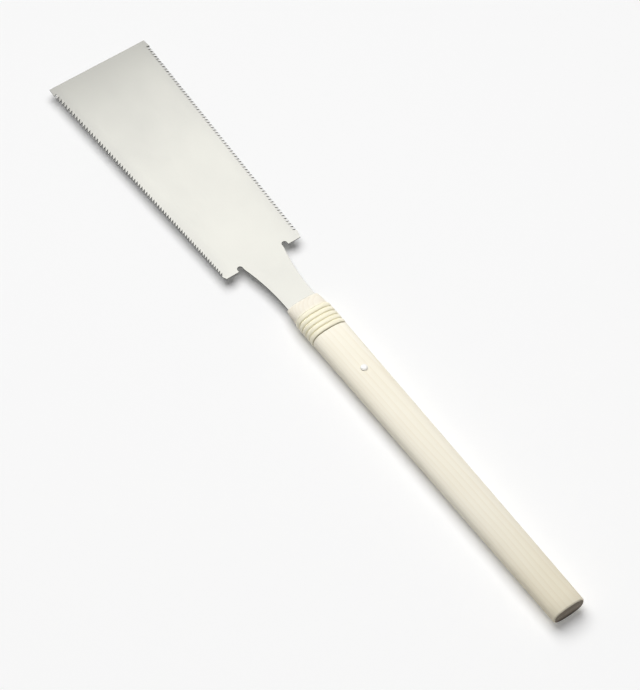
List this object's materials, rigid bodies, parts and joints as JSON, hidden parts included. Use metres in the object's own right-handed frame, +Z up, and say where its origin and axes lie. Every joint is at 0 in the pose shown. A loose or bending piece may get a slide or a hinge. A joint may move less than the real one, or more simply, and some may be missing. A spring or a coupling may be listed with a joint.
{
  "type": "ryoba saw",
  "caption": "Double-edged pull saw: a flared steel plate with rip teeth on one edge and crosscut teeth on the other, riveted by its tang into a split oval wooden handle bound with cane.",
  "frame": {"origin": "middle of the handle's butt face, in the middle plane of the steel plate", "axes": "+X along the saw from the butt to the blade's toe, +Y towards the rip edge, +Z up, square to the plate"},
  "size_m": [0.6115, 0.0914, 0.0197],
  "materials": {
    "saw_steel": "satin",
    "whitewood": "planed, unvarnished",
    "split_cane": "satin rind",
    "rivet_metal": "polished"
  },
  "bodies": {
    "root": {"saw_blade": "saw_steel", "handle_upper_half": "whitewood", "handle_lower_half": "whitewood", "cane_binding": "split_cane", "tang_rivet": "rivet_metal", "rivet_burr": "rivet_metal"}
  },
  "joints": []
}
